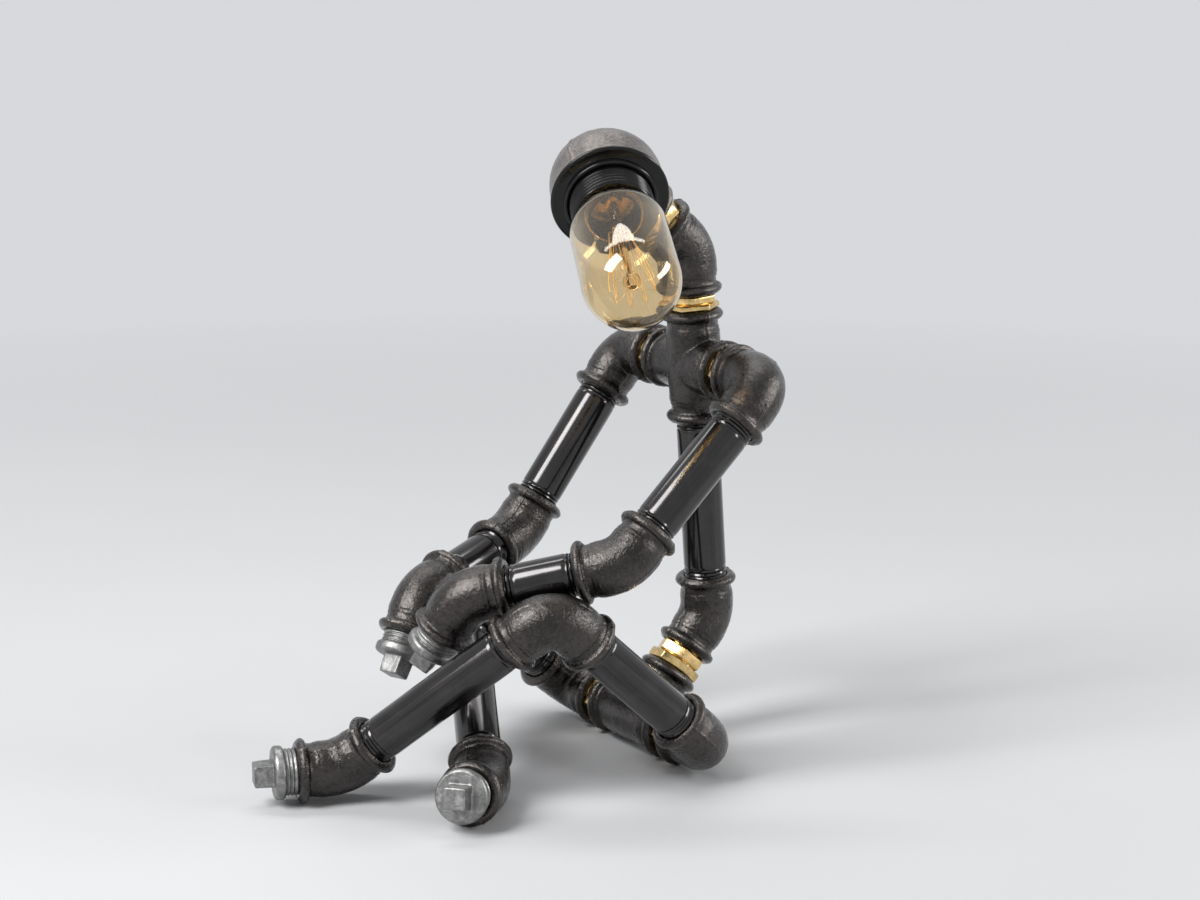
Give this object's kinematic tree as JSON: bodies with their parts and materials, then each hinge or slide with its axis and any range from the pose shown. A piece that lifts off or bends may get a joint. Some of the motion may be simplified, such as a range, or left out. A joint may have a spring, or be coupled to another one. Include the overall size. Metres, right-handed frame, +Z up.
{
  "type": "robot shaped desk lamp",
  "caption": "Desk lamp shaped as a seated robot figure built from pipe fittings, with a reducing-elbow head that holds a round filament bulb.",
  "frame": {"origin": "centre of the bounding box's underside, on the table top", "axes": "+Z up, -Y is the way the figure faces, X runs from hip to hip with +X at the figure's left"},
  "size_m": [0.1854, 0.2596, 0.3135],
  "materials": {
    "iron": "dark lacquered cast skin, half gloss",
    "head_iron": "lacquered cast skin, satin, a little lighter",
    "pipe": "near-black lacquered steel, gloss",
    "brass": "polished",
    "zinc": "dull galvanised, grainy",
    "grommet": "matt",
    "holder": "gloss black",
    "porcelain": "glazed white",
    "shell_brass": "drawn, bright",
    "cap_brass": "drawn, satin",
    "base_insulator": "glassy black",
    "solder": "bright",
    "amber_glass": "clear amber",
    "clear_glass": "clear",
    "filament": "fine wire",
    "hook_wire": "fine wire",
    "lead": "black insulated flex, satin"
  },
  "bodies": {
    "trunk": {"pelvis_tee": "iron", "cable_grommet": "grommet", "waist_nipple": "brass", "waist_locknut": "brass", "hip_nipple_left": "brass", "hip_nipple_right": "brass", "waist_elbow": "iron", "spine_pipe": "pipe", "torso_cross": "iron", "shoulder_nipple_left": "brass", "shoulder_nipple_right": "brass", "neck_nipple": "brass", "neck_locknut": "brass", "pelvis_lead": "lead", "torso_lead": "lead"},
    "neck": {"neck_elbow": "iron", "head_nipple": "brass", "neck_lead": "lead"},
    "head": {"head_elbow": "head_iron", "lamp_holder": "holder", "skirt_ring": "holder", "holder_core": "porcelain", "screw_shell": "shell_brass", "centre_contact": "shell_brass", "head_lead": "lead"},
    "bulb": {"bulb_cap": "cap_brass", "bulb_base": "base_insulator", "bulb_tip": "solder", "bulb_glass": "amber_glass", "bulb_stem": "clear_glass", "bulb_filament": "filament", "filament_hooks": "hook_wire"},
    "upper_arm_left": {"shoulder_elbow_left": "iron", "upper_arm_pipe_left": "pipe"},
    "forearm_left": {"arm_elbow_left": "iron", "forearm_pipe_left": "pipe"},
    "hand_left": {"hand_elbow_left": "iron", "hand_plug_left": "zinc"},
    "thigh_left": {"hip_elbow_left": "iron", "thigh_pipe_left": "pipe"},
    "shin_left": {"knee_elbow_left": "iron", "shin_pipe_left": "pipe"},
    "foot_left": {"foot_elbow_left": "iron", "foot_plug_left": "zinc"},
    "upper_arm_right": {"shoulder_elbow_right": "iron", "upper_arm_pipe_right": "pipe"},
    "forearm_right": {"arm_elbow_right": "iron", "forearm_pipe_right": "pipe"},
    "hand_right": {"hand_elbow_right": "iron", "hand_plug_right": "zinc"},
    "thigh_right": {"hip_elbow_right": "iron", "thigh_pipe_right": "pipe"},
    "shin_right": {"knee_elbow_right": "iron", "shin_pipe_right": "pipe"},
    "foot_right": {"foot_elbow_right": "iron", "foot_plug_right": "zinc"}
  },
  "joints": [
    {"name": "neck_turn", "type": "hinge", "parent": "trunk", "child": "neck", "pos_m": [-0.01503, 0.10427, 0.22769], "axis": [0, -0.0698, 0.9976], "range_deg": [-60, 60]},
    {"name": "head_turn", "type": "hinge", "parent": "neck", "child": "head", "pos_m": [-0.01503, 0.08047, 0.26899], "axis": [0, -0.7547, 0.6561], "range_deg": [-30, 40]},
    {"name": "bulb_unscrew", "type": "slide", "parent": "head", "child": "bulb", "axis": [0.829, -0.3669, -0.422], "range_m": [0, 0.026]},
    {"name": "shoulder_turn_left", "type": "hinge", "parent": "trunk", "child": "upper_arm_left", "pos_m": [0.04657, 0.10678, 0.19178], "axis": [1, 0, 0], "range_deg": [-25, 0]},
    {"name": "elbow_turn_left", "type": "hinge", "parent": "upper_arm_left", "child": "forearm_left", "pos_m": [0.04657, 0.02509, 0.11371], "axis": [0, -0.723, -0.6909], "range_deg": [0, 15]},
    {"name": "hand_turn_left", "type": "hinge", "parent": "forearm_left", "child": "hand_left", "pos_m": [-0.00049, -0.0332, 0.09589], "axis": [-0.6111, -0.757, -0.2314], "range_deg": [0, 12]},
    {"name": "hip_turn_left", "type": "hinge", "parent": "trunk", "child": "thigh_left", "pos_m": [0.04737, 0.07518, 0.0153], "axis": [1, 0, 0], "range_deg": [0, 6]},
    {"name": "knee_turn_left", "type": "hinge", "parent": "thigh_left", "child": "shin_left", "pos_m": [0.04737, -0.01304, 0.09665], "axis": [0, -0.7351, 0.678], "range_deg": [0, 6]},
    {"name": "foot_turn_left", "type": "hinge", "parent": "shin_left", "child": "foot_left", "pos_m": [-0.02302, -0.08794, 0.01544], "axis": [-0.5373, -0.5718, -0.62], "range_deg": [-30, 30]},
    {"name": "shoulder_turn_right", "type": "hinge", "parent": "trunk", "child": "upper_arm_right", "pos_m": [-0.07663, 0.10678, 0.19178], "axis": [1, 0, 0], "range_deg": [-30, 0]},
    {"name": "elbow_turn_right", "type": "hinge", "parent": "upper_arm_right", "child": "forearm_right", "pos_m": [-0.07663, 0.03878, 0.10153], "axis": [0, -0.6018, -0.7986], "range_deg": [0, 20]},
    {"name": "hand_turn_right", "type": "hinge", "parent": "forearm_right", "child": "hand_right", "pos_m": [-0.04762, -0.03078, 0.08577], "axis": [0.3768, -0.9034, -0.2046], "range_deg": [-45, 0]},
    {"name": "hip_turn_right", "type": "hinge", "parent": "trunk", "child": "thigh_right", "pos_m": [-0.07743, 0.07518, 0.0153], "axis": [1, 0, 0], "range_deg": [0, 8]},
    {"name": "knee_turn_right", "type": "hinge", "parent": "thigh_right", "child": "shin_right", "pos_m": [-0.07743, 0.00914, 0.0704], "axis": [0, -0.7678, 0.6407], "range_deg": [-8, 0]},
    {"name": "foot_turn_right", "type": "hinge", "parent": "shin_right", "child": "foot_right", "pos_m": [0.02828, -0.04042, 0.01099], "axis": [0.807, -0.3784, -0.4535], "range_deg": [-30, 30]}
  ]
}
